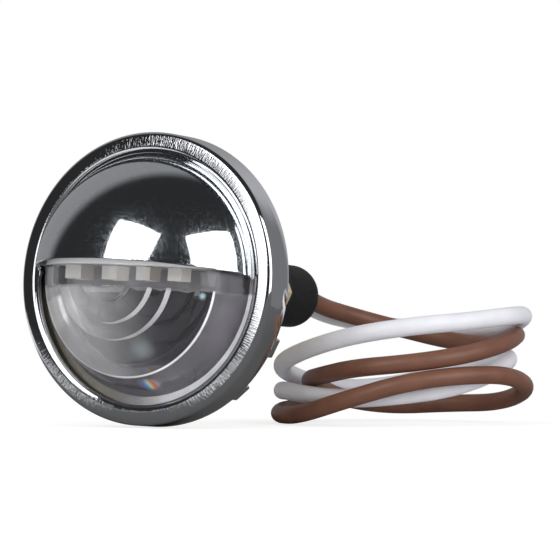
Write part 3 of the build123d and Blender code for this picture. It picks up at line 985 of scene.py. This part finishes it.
def led_finish(name, lead_color):
    """White moulded body whose two ends have the colour of the leads."""
    package = finish(name, (0.92, 0.90, 0.85), 0.4)
    shader = shader_of(package)
    # Painted light: a faint glow on a package that is switched off.
    shader.inputs["Emission Color"].default_value = (1.0, 0.96, 0.9, 1)
    shader.inputs["Emission Strength"].default_value = painted_led_light
    sideways = math(package, "ABSOLUTE", parts_of(package, "Normal")["X"], 0.0)
    spots = math(package, "MULTIPLY", grain(package, 0.8), 0.12)
    lead_share = math(package, "ADD", spread(package, sideways, 0.6, 0.9, 0.0, 0.8), spots)
    tint(package, lead_share, (0.0, led_white), (0.2, led_cream), (0.8, lead_color))
    relief(package, grain(package, 0.2, 1.0), 0.01)
    return package


# Painted shade on the ends of LEDs 1 and 3, painted light on those of LEDs 2 and 4.
dress(led_finish("led_shaded_leads", (0.34, 0.28, 0.23)), nodes["led_1"], nodes["led_3"])
dress(led_finish("led_lit_leads", (0.72, 0.69, 0.63)), nodes["led_2"], nodes["led_4"])

chip = finish("chip_body", (0.03, 0.03, 0.033), 0.5)
tint(chip, grain(chip, 0.5), (0.3, (0.022, 0.022, 0.024)), (0.7, (0.045, 0.045, 0.05)))
dress(chip, nodes["resistor_1"], nodes["resistor_2"], nodes["diode"])

# %% [markdown]
# ## Table, light and room
# The lamp stands on a pale table that slopes a little. Two soft boxes light it from the front and from the
# right, and the hood mirrors both. The camera sees the table almost white. The chrome sees it painted dark,
# as painted shade, apart from two painted pools of light, one ahead of the lamp and one on its left.

# %% Table
table_left, table_right, table_near, table_far = -300, 300, -320, 78
table_gap = 0.02
table_white, shadow_white = (0.8, 0.8, 0.81, 1), (0.33, 0.33, 0.33, 1)
table_glow = 0.76
patch_ahead, patch_left = (-78, -108, -29), (-180, -10, -28)
mirror_shade, mirror_lit = 0.14, 0.9


def mixed(material, share, first, second):
    """Two shaders mixed by a share."""
    node = material.node_tree.nodes.new("ShaderNodeMixShader")
    for socket, value in zip(node.inputs, (share, first, second)):
        material.node_tree.links.new(value, socket)
    return node.outputs["Shader"]


table_edges = [(x, y) for y in (table_near, table_far) for x in (table_left, table_right)]
bpy.ops.object.select_all(action="DESELECT")
bpy.ops.mesh.primitive_plane_add(size=1)
table = begin("table")
for vertex, (x, y) in zip(table.data.vertices, table_edges):
    vertex.co = (x * mm, y * mm, (table_height(x, y) - table_gap) * mm)

surface = bpy.data.materials.new("pale_table")
surface.use_nodes = True
tree = surface.node_tree
tree.nodes.clear()
output = tree.nodes.new("ShaderNodeOutputMaterial")
path = tree.nodes.new("ShaderNodeLightPath")
matte = tree.nodes.new("ShaderNodeBsdfDiffuse")
matte.inputs["Color"].default_value = table_white
pale = tree.nodes.new("ShaderNodeBsdfDiffuse")
pale.inputs["Color"].default_value = shadow_white
mirrored = tree.nodes.new("ShaderNodeBsdfDiffuse")
glow = tree.nodes.new("ShaderNodeEmission")
glow.inputs["Strength"].default_value = table_glow
lifted = tree.nodes.new("ShaderNodeAddShader")
tree.links.new(pale.outputs["BSDF"], lifted.inputs[0])
tree.links.new(glow.outputs["Emission"], lifted.inputs[1])
# Painted light and shade, seen only by the chrome: two lit pools on a table painted dark.
lit = math(surface, "MAXIMUM", near_to(surface, patch_ahead, 35, 70), near_to(surface, patch_left, 80, 130))
tree.links.new(spread(surface, lit, 0.0, 1.0, mirror_shade, mirror_lit), mirrored.inputs["Color"])
for_metal = mixed(surface, path.outputs["Is Glossy Ray"], matte.outputs["BSDF"], mirrored.outputs["BSDF"])
seen = mixed(surface, path.outputs["Is Camera Ray"], for_metal, lifted.outputs["Shader"])
tree.links.new(seen, output.inputs["Surface"])
dress(surface, table)

# %% Soft boxes
box_distance = 700


def direction_to(longitude, latitude):
    """A direction from the lamp. Longitude 0 is straight ahead of it, 90 is on its right."""
    across, up = radians(longitude), radians(latitude)
    return Vector((sin(across) * cos(up), -cos(across) * cos(up), sin(up)))


def soft_box(name, longitude, latitude, roll, width, height, watts):
    """A rectangular lamp that faces the dome from a direction given in degrees."""
    bpy.ops.object.light_add(type="AREA")
    lamp = bpy.context.active_object
    lamp.name = name
    lamp.data.shape = "RECTANGLE"
    lamp.data.size = width * mm
    lamp.data.size_y = height * mm
    lamp.data.energy = watts
    direction = direction_to(longitude, latitude)
    lamp.location = Vector((0, dome_centre * mm, 0)) + direction * box_distance * mm
    facing = direction.to_track_quat("Z", "Y").to_matrix() @ Matrix.Rotation(radians(roll), 3, "Z")
    lamp.rotation_euler = facing.to_euler()
    print(name, width, "by", height, "mm,", watts, "W")


soft_box("front_box", 0, 29, -10, 520, 430, 1.5)
soft_box("right_box", 80.5, 18, 0, 570, 590, 2.2)

# %% [markdown]
# The room is a plain function of direction. What the camera sees is white. The chrome sees a dark room with
# three panels: a large pale one behind the lamp on its left, a darker one behind it on its right, and a
# bright one low in front, below the soft box, which lights up the rim's right side. Every diffuse bounce,
# also one that has passed the lens, sees an even pale room.

# %% Room
dark_level, fill_level = 0.026, 0.55
world = bpy.data.worlds.new("room")
bpy.context.scene.world = world
world.use_nodes = True
tree = world.node_tree
tree.nodes.clear()
output = tree.nodes.new("ShaderNodeOutputWorld")
path = tree.nodes.new("ShaderNodeLightPath")
place = tree.nodes.new("ShaderNodeTexCoord")


def panel(longitude, latitude, edge, full, level):
    """Level of a round panel of the room. Its edge fades between two cosines from its middle."""
    towards_it = tree.nodes.new("ShaderNodeVectorMath")
    towards_it.operation = "DOT_PRODUCT"
    towards_it.inputs[1].default_value = direction_to(longitude, latitude)
    tree.links.new(place.outputs["Generated"], towards_it.inputs[0])
    return spread(world, towards_it.outputs["Value"], edge, full, 0.0, level)


def background(color):
    """A background of a colour, at full strength."""
    node = tree.nodes.new("ShaderNodeBackground")
    node.inputs["Color"].default_value = (*color, 1)
    return node


panels = math(world, "ADD", panel(-141, 21, 0.55, 0.76, 0.26), panel(155, 0, 0.55, 0.8, 0.17))
panels = math(world, "ADD", panels, panel(-10, 7, 0.966, 0.985, 1.6))
studio = background((1, 1, 1.02))
tree.links.new(math(world, "ADD", panels, dark_level), studio.inputs["Strength"])
fill = background((1, 1, 1.01))
tree.links.new(math(world, "ADD", panel(20, -5, -0.2, 0.8, 0.45), fill_level), fill.inputs["Strength"])
backdrop = background((1, 1, 1))
bounced = math(world, "GREATER_THAN", path.outputs["Diffuse Depth"], 0.5)
unseen = mixed(world, bounced, studio.outputs["Background"], fill.outputs["Background"])
seen = mixed(world, path.outputs["Is Camera Ray"], unseen, backdrop.outputs["Background"])
tree.links.new(seen, output.inputs["Surface"])
bpy.context.scene.view_settings.view_transform = "Standard"
print("room with", len(tree.nodes), "nodes")
